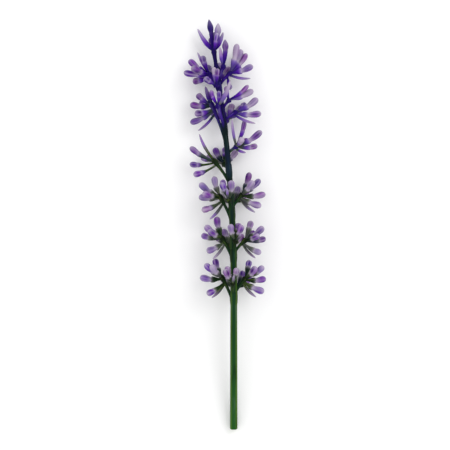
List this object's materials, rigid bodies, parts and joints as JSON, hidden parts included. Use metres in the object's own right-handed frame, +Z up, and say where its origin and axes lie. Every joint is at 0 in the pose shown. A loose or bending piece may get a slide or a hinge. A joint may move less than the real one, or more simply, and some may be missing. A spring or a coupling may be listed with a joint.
{
  "type": "lavender flower spike",
  "caption": "Cut lavender sprig lying on its side: a thin bowed stem with spaced whorls of small buds and needles, and a pointed spray of buds at the tip.",
  "frame": {"origin": "centre of the bounding box's base, on the surface that the spike lies on", "axes": "+Y along the spike towards its tip, +X to its right as its front is seen, +Z up, from the surface towards its front"},
  "size_m": [0.0238, 0.1172, 0.0135],
  "materials": {
    "stem_green": "satin",
    "tip_violet": "satin",
    "bud_violet": "satin",
    "bud_lilac": "satin"
  },
  "bodies": {
    "root": {"stem": "stem_green", "tip_spray": "tip_violet", "whorl_01": "bud_violet", "whorl_02": "bud_violet", "whorl_03": "bud_violet", "whorl_04": "bud_lilac", "whorl_05": "bud_lilac", "whorl_06": "bud_lilac"}
  },
  "joints": []
}
